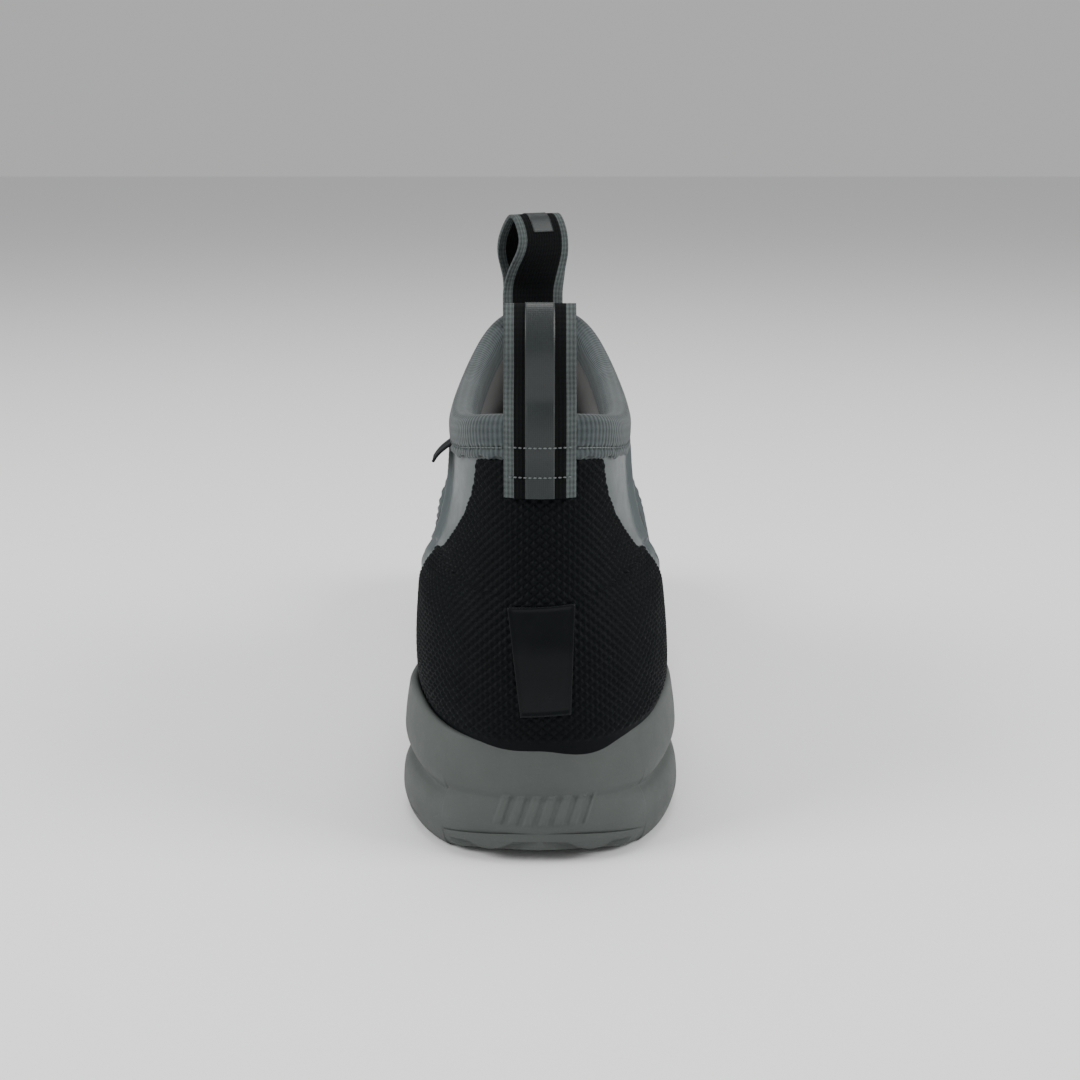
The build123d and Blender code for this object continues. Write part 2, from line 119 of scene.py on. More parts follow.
def catmull(rows, places, closed=False):
    """Smooth curve through rows of numbers, read at the given places."""
    count = len(rows)
    places = np.asarray(places, float)
    if closed:
        index = np.floor(places).astype(int)
        picks = [rows[(index + shift) % count] for shift in (-1, 0, 1, 2)]
    else:
        index = np.clip(np.floor(places).astype(int), 0, count - 2)
        picks = [rows[np.clip(index + shift, 0, count - 1)] for shift in (-1, 0, 1, 2)]
    t = (places - index)[..., None]
    a, b, c, d = picks
    return 0.5 * (2 * b + (c - a) * t + (2 * a - 5 * b + 4 * c - d) * t ** 2 + (3 * (b - c) + d - a) * t ** 3)


def line_at(line, x, steps=24):
    """A smooth line of (x, value) read at x."""
    dense = catmull(line, np.linspace(0, len(line) - 1, (len(line) - 1) * steps + 1))
    return np.interp(x, dense[:, 0], dense[:, 1])


def skin(u, theta, depth=0.0):
    """Points of the foot form at section u and angle theta (0 at the heel), moved inwards, in mm."""
    row = catmull(SECTIONS, u)
    toe = np.clip(row[..., 9], 0, 1)
    inward = depth * np.sqrt(1 - toe ** 2)
    back, front = row[..., 0:2], row[..., 2:4]
    length = np.linalg.norm(front - back, axis=-1)
    along = (front - back) / length[..., None]
    cosine, sine = np.cos(theta), np.sin(theta)
    power = 2 / np.where(cosine > 0, row[..., 7], row[..., 8])
    reach = np.abs(cosine) ** power
    widest = row[..., 6]
    place = np.where(cosine > 0, widest * (1 - reach), widest + (1 - widest) * reach)
    across = np.maximum(row[..., 4] - inward, 0.1) * np.sign(sine) * np.abs(sine) ** power
    reached = inward + place * (length - 2 * inward)
    y = back[..., 0] + along[..., 0] * reached - depth * toe
    z = back[..., 1] + along[..., 1] * reached
    return np.stack([row[..., 5] + across, y, z], axis=-1)


def section_through(y, z):
    """The section whose plane passes through each (y, z) of the side view."""
    low, high = np.zeros_like(y), np.full_like(y, LAST)
    for _ in range(22):
        middle = (low + high) / 2
        row = catmull(SECTIONS, middle)
        cross = (row[..., 2] - row[..., 0]) * (z - row[..., 1]) - (row[..., 3] - row[..., 1]) * (y - row[..., 0])
        above = cross > 0
        high = np.where(above, middle, high)
        low = np.where(above, low, middle)
    return (low + high) / 2


def place_in_section(y, z):
    """The section through each (y, z), how far along it the point lies from its widest place, and its power."""
    row = catmull(SECTIONS, section_through(y, z))
    delta = row[..., 2:4] - row[..., 0:2]
    length = np.linalg.norm(delta, axis=-1)
    place = ((y - row[..., 0]) * delta[..., 0] + (z - row[..., 1]) * delta[..., 1]) / length ** 2
    widest = row[..., 6]
    rear = place < widest
    along = np.where(rear, (widest - place) / widest, (place - widest) / (1 - widest))
    return row, along, np.where(rear, row[..., 7], row[..., 8])


def fullness_at(points):
    """Below 0 inside the foot form, above 0 outside it."""
    x, y, z = points[..., 0], points[..., 1], points[..., 2]
    row, along, power = place_in_section(y, z)
    return np.abs(x - row[..., 5]) ** power / row[..., 4] ** power + np.abs(along) ** power - 1


def cast(outside, inside):
    """Where the lines from outside points to inside points meet the foot form, and the normals there."""
    low, high = np.zeros(outside.shape[:-1]), np.ones(outside.shape[:-1])
    for _ in range(16):
        middle = (low + high) / 2
        out = fullness_at(outside + (inside - outside) * middle[..., None]) > 0
        low = np.where(out, middle, low)
        high = np.where(out, high, middle)
    hit = outside + (inside - outside) * high[..., None]
    slope = [fullness_at(hit + step) - fullness_at(hit - step) for step in np.eye(3) * 0.4]
    normal = np.stack(slope, axis=-1)
    return hit, normal / np.linalg.norm(normal, axis=-1)[..., None]


def side_skin(y, z, side, depth=0.0):
    """Points on the inner (-1) or outer (1) side of the foot form at each (y, z) of the side view."""
    row, along, power = place_in_section(y, z)
    along = np.clip(along, 0, 1)
    across = (row[..., 4] - depth) * (1 - along ** power) ** (1 / power)
    return np.stack([row[..., 5] + side * across, y, z], axis=-1)


def grid_normals(points):
    """Normals of a grid of points, by differences along its rows and columns."""
    down, right = np.gradient(points, axis=0), np.gradient(points, axis=1)
    normal = np.cross(right, down)
    return normal / np.maximum(np.linalg.norm(normal, axis=-1), 1e-9)[..., None]


def outline_distance(y, z, outline):
    """Distance in the side view from an outline: below 0 inside it."""
    dense = catmull(outline, np.linspace(0, len(outline) - 1, 90))
    ends = np.roll(dense, -1, axis=0)
    best = np.full(y.shape, 1e9)
    odd = np.zeros(y.shape, bool)
    for (y0, z0), (y1, z1) in zip(dense, ends):
        dy, dz = y1 - y0, z1 - z0
        share = np.clip(((y - y0) * dy + (z - z0) * dz) / (dy * dy + dz * dz + 1e-9), 0, 1)
        best = np.minimum(best, np.hypot(y - y0 - share * dy, z - z0 - share * dz))
        crosses = (z0 > z) != (z1 > z)
        odd ^= crosses & (y < (z - z0) / (dz if abs(dz) > 1e-9 else 1e-9) * dy + y0)
    return np.where(odd, -best, best)


def smooth_step(value, low, high):
    """0 below low, 1 above high, and a soft ramp between."""
    t = np.clip((value - low) / (high - low), 0, 1)
    return t * t * (3 - 2 * t)


# ---------------------------------------------------------------- meshes
def grid_object(name, points, closed=False, uv=None, thickness=0.0):
    """A sheet of quads through a grid of points in mm, closed round its rows if asked."""
    rows, columns = points.shape[:2]
    mesh = bmesh.new()
    bmesh.ops.create_grid(mesh, x_segments=columns - 1, y_segments=rows - 1, size=1.0)
    mesh.verts.ensure_lookup_table()
    mesh.verts.index_update()
    uv_layer = mesh.loops.layers.uv.new("UVMap")
    for face in mesh.faces:
        for loop in face.loops:
            row, column = divmod(loop.vert.index, columns)
            place = uv[row, column] if uv is not None else (column / columns, row / rows)
            loop[uv_layer].uv = (float(place[0]), float(place[1]))
    flat = points.reshape(-1, 3) * MM
    for vert, place in zip(mesh.verts, flat):
        vert.co = place
    if closed:
        bmesh.ops.remove_doubles(mesh, verts=mesh.verts, dist=2e-6)
    return finish_mesh(name, mesh, thickness)


def finish_mesh(name, mesh, thickness=0.0):
    """Turn a bmesh into a smooth object in the scene, with an inward wall if asked."""
    data = bpy.data.meshes.new(name)
    mesh.to_mesh(data)
    mesh.free()
    data.polygons.foreach_set("use_smooth", [True] * len(data.polygons))
    obj = bpy.data.objects.new(name, data)
    bpy.context.scene.collection.objects.link(obj)
    if thickness:
        wall = obj.modifiers.new("wall", "SOLIDIFY")
        wall.thickness = thickness * MM
        wall.offset = -1.0
        wall.use_quality_normals = True
    return obj


def apply_modifiers(obj):
    """Make a piece's modifiers part of its mesh."""
    data = bpy.data.meshes.new_from_object(obj.evaluated_get(bpy.context.evaluated_depsgraph_get()))
    obj.modifiers.clear()
    obj.data = data
    return obj


def settle(obj, material, body, slot, *nodes):
    """Give a finished piece its material, its body and the CAD nodes that it stands for."""
    obj.data.materials.clear()
    obj.data.materials.append(material)
    if body:
        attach(obj, body)
    if nodes:
        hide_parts(*nodes)
    return obj


# ---------------------------------------------------------------- materials
def new_group(name, inputs, outputs):
    """An empty shader node group with named sockets."""
    group = bpy.data.node_groups.new(name, "ShaderNodeTree")
    for label, kind, default in inputs:
        socket = group.interface.new_socket(label, in_out="INPUT", socket_type=kind)
        socket.default_value = default
    for label, kind in outputs:
        group.interface.new_socket(label, in_out="OUTPUT", socket_type=kind)
    return group, group.nodes.new("NodeGroupInput"), group.nodes.new("NodeGroupOutput")


def math_node(tree, operation, first, second=None, clamp=False):
    """A maths node on sockets or plain numbers."""
    node = tree.nodes.new("ShaderNodeMath")
    node.operation = operation
    node.use_clamp = clamp
    for index, value in enumerate((first, second)):
        if value is None:
            continue
        if isinstance(value, (int, float)):
            node.inputs[index].default_value = value
        else:
            tree.links.new(value, node.inputs[index])
    return node.outputs[0]


def noise(tree, coordinates, scale, detail=3.0, roughness=0.55):
    """Noise between 0 and 1 at a scale given in cells per metre."""
    node = tree.nodes.new("ShaderNodeTexNoise")
    node.inputs["Scale"].default_value = scale
    node.inputs["Detail"].default_value = detail
    node.inputs["Roughness"].default_value = roughness
    tree.links.new(coordinates, node.inputs["Vector"])
    return node.outputs["Fac"]


def shade(tree, colour, amount):
    """A colour made lighter or darker by a factor."""
    node = tree.nodes.new("ShaderNodeVectorMath")
    node.operation = "SCALE"
    tree.links.new(colour, node.inputs[0])
    tree.links.new(amount, node.inputs["Scale"])
    return node.outputs[0]


def build_moulded_group():
    """Moulded rubber: slow colour drift, fine grain, light specks and scuffs."""
    inputs = [("Colour", "NodeSocketColor", (0.1, 0.1, 0.1, 1)), ("Drift", "NodeSocketFloat", 0.1),
              ("Grain Scale", "NodeSocketFloat", 1800.0), ("Specks", "NodeSocketFloat", 0.0),
              ("Roughness", "NodeSocketFloat", 0.5)]
    outputs = [("Colour", "NodeSocketColor"), ("Roughness", "NodeSocketFloat"), ("Height", "NodeSocketFloat")]
    group, start, end = new_group("moulded_rubber", inputs, outputs)
    place = group.nodes.new("ShaderNodeTexCoord").outputs["Object"]
    slow = noise(group, place, 35.0, 4.0)
    smear = noise(group, place, 160.0, 5.0, 0.7)
    grain = group.nodes.new("ShaderNodeTexNoise")
    grain.inputs["Detail"].default_value = 2.0
    group.links.new(place, grain.inputs["Vector"])
    group.links.new(start.outputs["Grain Scale"], grain.inputs["Scale"])
    fleck = noise(group, place, 3200.0, 1.0)
    swing = math_node(group, "MULTIPLY", math_node(group, "SUBTRACT", slow, 0.5), start.outputs["Drift"])
    swing = math_node(group, "MULTIPLY", swing, 4.0)
    spots = math_node(group, "GREATER_THAN", fleck, 0.66)
    spots = math_node(group, "MULTIPLY", spots, start.outputs["Specks"])
    factor = math_node(group, "ADD", math_node(group, "ADD", swing, 1.0), spots)
    group.links.new(shade(group, start.outputs["Colour"], factor), end.inputs["Colour"])
    rough = math_node(group, "MULTIPLY", math_node(group, "SUBTRACT", smear, 0.5), 0.35)
    rough = math_node(group, "ADD", start.outputs["Roughness"], rough, clamp=True)
    group.links.new(rough, end.inputs["Roughness"])
    group.links.new(math_node(group, "ADD", grain.outputs["Fac"], math_node(group, "MULTIPLY", smear, 0.5)),
                    end.inputs["Height"])
    return group


def build_rib_group():
    """Knitted or woven ribs that follow the piece's own UV map, laid out in metres, with painted shade darkening the
    troughs between them.
    """
    inputs = [("Colour", "NodeSocketColor", (0.1, 0.1, 0.1, 1)), ("Across", "NodeSocketFloat", 900.0),
              ("Along", "NodeSocketFloat", 900.0), ("Depth", "NodeSocketFloat", 0.5),
              ("Roughness", "NodeSocketFloat", 0.8)]
    outputs = [("Colour", "NodeSocketColor"), ("Roughness", "NodeSocketFloat"), ("Height", "NodeSocketFloat")]
    group, start, end = new_group("ribbed_cloth", inputs, outputs)
    split = group.nodes.new("ShaderNodeSeparateXYZ")
    coordinates = group.nodes.new("ShaderNodeTexCoord")
    group.links.new(coordinates.outputs["UV"], split.inputs[0])
    waves = []
    for axis, label in (("X", "Across"), ("Y", "Along")):
        turn = math_node(group, "MULTIPLY", split.outputs[axis], start.outputs[label])
        turn = math_node(group, "MULTIPLY", turn, 2 * math.pi)
        wave = math_node(group, "SINE", turn)
        waves.append(math_node(group, "ADD", math_node(group, "MULTIPLY", wave, 0.5), 0.5))
    fuzz = noise(group, coordinates.outputs["Object"], 2600.0, 2.0)
    blotch = noise(group, coordinates.outputs["Object"], 90.0, 3.0)
    knit = math_node(group, "ADD", math_node(group, "MULTIPLY", waves[0], 0.65),
                     math_node(group, "MULTIPLY", waves[1], 0.35))
    height = math_node(group, "ADD", knit, math_node(group, "MULTIPLY", fuzz, 0.35))
    # painted shade: the colour is darkened in the troughs between the ribs; the blotches and fuzz added next are random
    # tone
    dark = math_node(group, "MULTIPLY", math_node(group, "SUBTRACT", knit, 1.0), start.outputs["Depth"])
    dark = math_node(group, "ADD", dark, math_node(group, "MULTIPLY", math_node(group, "SUBTRACT", blotch, 0.5), 0.5))
    dark = math_node(group, "ADD", dark, math_node(group, "MULTIPLY", math_node(group, "SUBTRACT", fuzz, 0.5), 0.5))
    factor = math_node(group, "ADD", dark, 1.0)
    group.links.new(shade(group, start.outputs["Colour"], factor), end.inputs["Colour"])
    rough = math_node(group, "ADD", start.outputs["Roughness"],
                      math_node(group, "MULTIPLY", math_node(group, "SUBTRACT", fuzz, 0.5), 0.2), clamp=True)
    group.links.new(rough, end.inputs["Roughness"])
    group.links.new(height, end.inputs["Height"])
    return group


def shared_group(name):
    """The node group of that name, built once."""
    builders = {"moulded_rubber": build_moulded_group, "ribbed_cloth": build_rib_group}
    return bpy.data.node_groups.get(name) or builders[name]()


def surface(name, group_name, values, bump, specular=0.5, coat=0.0, sheen=0.0):
    """A material whose colour, roughness and height come from one of the shared groups."""
    if name in bpy.data.materials:
        return bpy.data.materials[name]
    material = bpy.data.materials.new(name)
    material.use_nodes = True
    tree = material.node_tree
    shader = tree.nodes["Principled BSDF"]
    pattern = tree.nodes.new("ShaderNodeGroup")
    pattern.node_tree = shared_group(group_name)
    pattern.name = "pattern"
    for label, value in values.items():
        pattern.inputs[label].default_value = (*value, 1.0) if hasattr(value, "__len__") else value
    raised = tree.nodes.new("ShaderNodeBump")
    raised.name = "relief"
    raised.inputs["Strength"].default_value = 1.0
    raised.inputs["Distance"].default_value = bump * MM
    tree.links.new(pattern.outputs["Colour"], shader.inputs["Base Color"])
    tree.links.new(pattern.outputs["Roughness"], shader.inputs["Roughness"])
    tree.links.new(pattern.outputs["Height"], raised.inputs["Height"])
    tree.links.new(raised.outputs["Normal"], shader.inputs["Normal"])
    shader.inputs["Specular IOR Level"].default_value = specular
    shader.inputs["Coat Weight"].default_value = coat
    shader.inputs["Coat Roughness"].default_value = 0.3
    shader.inputs["Sheen Weight"].default_value = sheen
    shader.inputs["Sheen Roughness"].default_value = 0.5
    return material


MOULDED, RIBBED = "moulded_rubber", "ribbed_cloth"
GROUP_INPUTS = {
    MOULDED: ("Drift", "Grain Scale", "Specks", "Roughness"),
    RIBBED: ("Across", "Along", "Depth", "Roughness"),
}
# material name, node group, colour, the group's inputs, then bump in mm, specular, coat and sheen
FINISHES = {
    "upper": ("upper_satin_rubber", MOULDED, "upper",
              (0.1, 2400.0, 0.05, 0.42), 0.02, 0.4, 0.1, 0.0),
    "overlay": ("overlay_black_rubber", MOULDED, "overlay",
                (0.15, 2600.0, 0.25, 0.55), 0.03, 0.07, 0.0, 0.0),
    "badge": ("badge_smooth_rubber", MOULDED, "overlay",
              (0.1, 3000.0, 0.0, 0.32), 0.008, 0.14, 0.0, 0.0),
    "gore": ("gore_ribbed_stretch", RIBBED, "gore",
             (0.0, 520.0, 0.6, 0.7), 0.25, 0.35, 0.0, 0.0),
    "binding": ("binding_knit_tape", RIBBED, "binding",
                (760.0, 420.0, 0.45, 0.85), 0.22, 0.15, 0.0, 0.15),
    "lining": ("lining_brushed_knit", RIBBED, "lining",
               (1400.0, 1400.0, 0.15, 0.9), 0.05, 0.15, 0.0, 0.4),
    "tape": ("reflective_satin_tape", RIBBED, "tape",
             (1700.0, 1700.0, 0.3, 0.42), 0.04, 0.4, 0.0, 0.0),
    "thread": ("spun_thread", MOULDED, "thread",
               (0.3, 5000.0, 0.3, 0.75), 0.05, 0.3, 0.0, 0.0),
    "label": ("label_fine_weave", RIBBED, "label",
              (1500.0, 1500.0, 0.4, 0.8), 0.08, 0.2, 0.0, 0.0),
    "foam": ("padding_foam", MOULDED, (0.02, 0.02, 0.02),
             (0.3, 900.0, 0.1, 0.9), 0.1, 0.2, 0.0, 0.0),
    "board": ("pressed_board", MOULDED, (0.2, 0.17, 0.13),
              (0.3, 700.0, 0.2, 0.85), 0.06, 0.2, 0.0, 0.0),
    "footbed": ("footbed_brushed_top", MOULDED, (0.03, 0.032, 0.034),
                (0.3, 1600.0, 0.25, 0.9), 0.1, 0.2, 0.0, 0.0),
}


def paint(name):
    """The finish of that name, built once."""
    colours = bpy.context.scene.boot_colours
    if name == "sole":
        return sole_material(colours)
    label, group, colour, values, *settings = FINISHES[name]
    if isinstance(colour, str):
        colour = getattr(colours, colour)
    return surface(label, group, {"Colour": colour, **dict(zip(GROUP_INPUTS[group], values))}, *settings)


def sole_material(colour):
    """Sole rubber: matt and speckled, with a fine crossed texture low on the wall."""
    name = "sole_matt_rubber"
    if name in bpy.data.materials:
        return bpy.data.materials[name]
    values = {"Colour": colour.sole, "Drift": 0.12, "Grain Scale": 1500.0, "Specks": 0.16, "Roughness": 0.66}
    material = surface(name, MOULDED, values, 0.05, 0.3)
    tree = material.node_tree
    split = tree.nodes.new("ShaderNodeSeparateXYZ")
    tree.links.new(tree.nodes.new("ShaderNodeTexCoord").outputs["Object"], split.inputs[0])
    x, z = split.outputs["X"], split.outputs["Z"]
    lines = []
    for sign in (-1.0, 1.0):
        slant = math_node(tree, "ADD", z, math_node(tree, "MULTIPLY", x, sign))
        wave = math_node(tree, "SINE", math_node(tree, "MULTIPLY", slant, 2 * math.pi / CROSS_PITCH))
        lines.append(math_node(tree, "GREATER_THAN", wave, 0.55))
    crossed = math_node(tree, "MAXIMUM", lines[0], lines[1])
    low = math_node(tree, "LESS_THAN", z, CROSS_TOP)
    mask = math_node(tree, "MULTIPLY", crossed, low)
    height = math_node(tree, "ADD", tree.nodes["pattern"].outputs["Height"], math_node(tree, "MULTIPLY", mask, 1.6))
    tree.links.new(height, tree.nodes["relief"].inputs["Height"])
    return material


def webbing_material(colour):
    """Black ribbed webbing with a grey edge on each side, banded by the UV map's first number."""
    name = "webbing_black_grey_edge"
    if name in bpy.data.materials:
        return bpy.data.materials[name]
    values = {"Colour": colour.webbing, "Across": 950.0, "Along": 620.0, "Depth": 0.55, "Roughness": 0.85}
    material = surface(name, RIBBED, values, 0.16, 0.12)
    tree = material.node_tree
    split = tree.nodes.new("ShaderNodeSeparateXYZ")
    tree.links.new(tree.nodes.new("ShaderNodeTexCoord").outputs["UV"], split.inputs[0])
    edge = math_node(tree, "GREATER_THAN", math_node(tree, "ABSOLUTE", split.outputs["X"]), BLACK_HALF)
    mix = tree.nodes.new("ShaderNodeMix")
    mix.data_type = "RGBA"
    mix.inputs["A"].default_value = (*colour.webbing, 1.0)
    mix.inputs["B"].default_value = (*colour.webbing_edge, 1.0)
    tree.links.new(edge, mix.inputs["Factor"])
    tree.links.new(mix.outputs["Result"], tree.nodes["pattern"].inputs["Colour"])
    return material


# ---------------------------------------------------------------- pieces
def top_sections(theta, depth, drop=0.0):
    """The section at which each angle's line meets the collar's top line, lowered by drop."""
    low, high = np.zeros_like(theta), np.full_like(theta, 6.0)
    for _ in range(26):
        middle = (low + high) / 2
        point = skin(middle, theta, depth)
        over = point[..., 2] > line_at(TOP_LINE, point[..., 1]) - drop
        low = np.where(over, middle, low)
        high = np.where(over, high, middle)
    return (low + high) / 2


def wrapped_rows(rows, columns, depth, drop, last):
    """Section and angle grids from the collar's top line down to the last section."""
    turn = np.linspace(0, 2 * np.pi, columns)
    theta = turn + 0.28 * np.sin(2 * turn) + 1e-4
    first = top_sections(theta, depth, drop)
    share = np.linspace(0, 1, rows)[:, None] ** 1.4
    return first[None, :] + share * (last - first[None, :]), np.repeat(theta[None, :], rows, axis=0)


def make_upper():
    """Rubber skin with a raised ridge round each gore, and the gore pocket sunk into it."""
    u, theta = wrapped_rows(252, 381, 0.0, 1.0, LAST)
    points = skin(u, theta)
    normal = -grid_normals(points)
    gap = outline_distance(points[..., 1], points[..., 2], GORE)
    ridge = np.exp(-((gap - 2.2) / 1.5) ** 2) * 1.7
    pocket = -1.5 * (1 - smooth_step(gap, -1.6, 0.2))
    under_collar = smooth_step(line_at(TOP_LINE, points[..., 1]) - points[..., 2], 6.0, 12.0)
    band = np.exp(-((overlay_gap(points) - 1.8) / 1.2) ** 2) * 0.5
    in_band = smooth_step(points[..., 2], 40.0, 46.0) * (1 - smooth_step(points[..., 2], 82.0, 92.0))
    relief = (ridge + pocket) * under_collar + band * in_band * (points[..., 1] < -40)
    waist = smooth_step(points[..., 1], -95.0, -70.0) * (1 - smooth_step(points[..., 1], 20.0, 60.0))
    relief -= 1.3 * waist * (1 - smooth_step(points[..., 2] - line_at(CUP_LINE, points[..., 1]), 0.5, 9.0))
    points = points + normal * relief[..., None]
    points[..., 2] = np.maximum(points[..., 2], 30.0)
    obj = grid_object("upper_shell_skin", points[:, ::-1], closed=True)
    return settle(obj, paint("upper"), "boot", "upper_rubber", "upper_shell")


def overlay_gap(points):
    """Rough distance outside the heel overlay's edge: below 0 on the overlay."""
    x, y, z = np.abs(points[..., 0]), points[..., 1], points[..., 2]
    rear = (x - line_at(OVERLAY_REAR, z)) * 0.8
    side = (y - line_at(OVERLAY_FRONT, z)) * 0.6
    return np.where(z > 84.0, np.where(y < -60.0, rear, 99.0), side)


def make_gore(name, side):
    """Stretch panel in its pocket, with fine ribs that run up and down."""
    dense = catmull(GORE, np.linspace(0, len(GORE) - 1, 300))
    lowest = int(np.argmin(dense[:, 1]))
    back, front = dense[:lowest + 1][::-1], dense[lowest:]
    levels = 68.7 + (131.0 - 68.7) * np.linspace(0, 1, 90) ** 1.4
    y_back = np.interp(levels, back[:, 1], back[:, 0])
    y_front = np.interp(levels, front[:, 1], front[:, 0])
    share = np.linspace(0, 1, 60)[None, :]
    y = y_back[:, None] + share * (y_front - y_back)[:, None]
    z = np.minimum(np.repeat(levels[:, None], 60, axis=1), line_at(TOP_LINE, y) - 1.0)
    points = side_skin(y, z, side, 0.75)
    crown = np.sin(np.pi * share) * 0.3
    points[..., 0] += side * crown
    uv = np.stack([y * MM, y * MM], axis=-1)
    if side < 0:
        points, uv = points[:, ::-1], uv[:, ::-1]
    obj = grid_object(name, points, uv=uv, thickness=0.9)
    return settle(obj, paint("gore"), "boot", "gore_rubber", "gore_medial" if side < 0 else "gore_lateral")


def lattice(s, z, wide, tall):
    """Height between 0 and 1 of a field of small pyramids standing on their corners."""
    first, second = s / wide + z / tall, s / wide - z / tall
    reach = np.maximum(np.abs(first % 1 - 0.5), np.abs(second % 1 - 0.5)) * 2
    return np.clip((1 - reach) * 1.7, 0, 1)


def make_heel_overlay():
    """Black overlay round the heel with its raised lattice, widening from the collar to the sole."""
    sizes = bpy.context.scene.boot_sizes
    rows, half = 226, 216
    theta = np.linspace(0, np.pi * 0.93, 900)
    dense = np.linspace(1.25, 8.2, 600)
    climb = np.abs(np.gradient(skin(dense, np.zeros_like(dense))[:, 2])).cumsum()
    u_rows = np.interp(np.linspace(climb[0], climb[-1], rows), climb, dense)
    share = np.linspace(0, 1, half) ** 1.25
    grid = np.zeros((rows, 2 * half - 1, 3))
    run = np.zeros((rows, 2 * half - 1))
    edge = np.zeros((rows, 1))
    for index, u in enumerate(u_rows):
        for side in (1, -1):
            line = skin(np.full_like(theta, u), theta * side, 0.0)
            length = np.concatenate([[0], np.cumsum(np.linalg.norm(np.diff(line, axis=0), axis=1))])
            gap = overlay_gap(line)
            cross = int(np.argmax(gap > 0)) if (gap > 0).any() else len(gap) - 1
            before, after = gap[cross - 1], gap[cross]
            end = np.interp(0, [before, after], [length[cross - 1], length[cross]]) if cross else 0.0
            along = share * end
            picked = np.stack([np.interp(along, length, line[:, axis]) for axis in range(3)], axis=-1)
            place = slice(half - 1, None) if side > 0 else slice(half - 1, None, -1)
            grid[index, place] = picked
            run[index, place] = along * side
            edge[index] = end
    normal = -grid_normals(grid)
    top = line_at(TOP_LINE, grid[..., 1]) - grid[..., 2]
    lip = grid[..., 2] - line_at(CUP_LINE, grid[..., 1])
    margin = smooth_step(edge - np.abs(run), 0.3, 1.5) * smooth_step(lip, 0.2, 2.0)
    wide, tall = sizes.lattice_wide / MM, sizes.lattice_tall / MM
    relief = 0.95 + 0.75 * lattice(run, grid[..., 2], wide, tall) * margin
    relief -= 0.55 * (1 - smooth_step(edge - np.abs(run), 0.0, 0.9))
    relief = np.where(top < 12.0, -0.6, relief)
    relief[0], relief[-1], relief[:, 0], relief[:, -1] = -1.4, -1.4, -1.4, -1.4
    points = grid + normal * relief[..., None]
    points[..., 2] = np.maximum(points[..., 2], 31.0)
    obj = grid_object("heel_overlay_lattice", points[:, ::-1])
    return settle(obj, paint("overlay"), "boot", "textured_rubber", "heel_overlay")


def make_toe_bumper():
    """Black bumper round the toe with the same lattice."""
    sizes = bpy.context.scene.boot_sizes
    rows, columns = 84, 560
    angle = np.linspace(-0.03, np.pi + 0.03, columns)
    centre = np.array([-2.0, 62.0])
    share = np.linspace(0, 1, rows)[:, None]
    inside = np.zeros((rows, columns, 3))
    outside = np.zeros((rows, columns, 3))
    reach = 82.0
    direction = np.stack([np.cos(angle), np.sin(angle)], axis=-1)
    edge_y = centre[1] + np.sin(angle) * 80.0
    top = line_at(BUMPER_TOP, np.clip(edge_y, 57.0, 150.0))
    height = 33.0 + share * (top[None, :] - 33.0)
    inside[..., 0:2] = centre + direction * 4.0
    outside[..., 0:2] = centre + direction * reach
    inside[..., 2] = np.minimum(height, 50.0)
    outside[..., 2] = height + (height - 33.0) * 0.35
    hit, normal = cast(outside, inside)
    run = np.concatenate([np.zeros((rows, 1)), np.cumsum(np.linalg.norm(np.diff(hit, axis=1), axis=2), axis=1)], axis=1)
    climb = np.concatenate([np.zeros((1, columns)), np.cumsum(np.linalg.norm(np.diff(hit, axis=0), axis=2), axis=0)])
    lip = hit[..., 2] - line_at(CUP_LINE, hit[..., 1])
    margin = smooth_step(climb[-1] - climb, 0.3, 1.6) * smooth_step(lip, 0.2, 2.2)
    relief = 0.95 + 0.7 * lattice(run, climb, sizes.lattice_wide / MM, sizes.lattice_tall / MM) * margin
    relief -= 0.55 * (1 - smooth_step(climb[-1] - climb, 0.0, 0.9))
    points = hit + normal * relief[..., None]
    points[0] -= normal[0] * EDGE_TURN
    points[-1] -= normal[-1] * EDGE_TURN
    points[:, 0] -= normal[:, 0] * EDGE_TURN
    points[:, -1] -= normal[:, -1] * EDGE_TURN
    obj = grid_object("toe_bumper_lattice", points)
    return settle(obj, paint("overlay"), "boot", "textured_rubber", "toe_bumper")


def make_badge():
    """Smooth plain badge on the heel overlay, with a thin raised border."""
    rows, columns = 60, 44
    down, right = np.meshgrid(np.linspace(0, 1, rows), np.linspace(0, 1, columns), indexing="ij")
    top_left, top_right = np.array([-9.2, 76.0]), np.array([9.8, 77.0])
    low_left, low_right = np.array([-5.6, 44.4]), np.array([8.8, 45.2])
    upper = top_left + (top_right - top_left) * right[..., None]
    lower = low_left + (low_right - low_left) * right[..., None]
    place = upper + (lower - upper) * down[..., None]
    outside = np.stack([place[..., 0], np.full(place.shape[:2], -175.0), place[..., 1]], axis=-1)
    inside = outside + np.array([0.0, 75.0, 0.0])
    hit, normal = cast(outside, inside)
    edge = np.minimum(np.minimum(right, 1 - right) * 17.0, np.minimum(down, 1 - down) * 32.0)
    border = smooth_step(edge, 0.15, 0.45) * (1 - smooth_step(edge, 0.95, 1.25))
    relief = 1.95 + 0.35 * border - 1.2 * (1 - smooth_step(edge, 0.0, 0.3))
    points = hit + normal * relief[..., None]
    obj = grid_object("heel_badge_plate", points[::-1], thickness=1.0)
    return settle(obj, paint("badge"), "boot", "badge_rubber", "heel_badge")


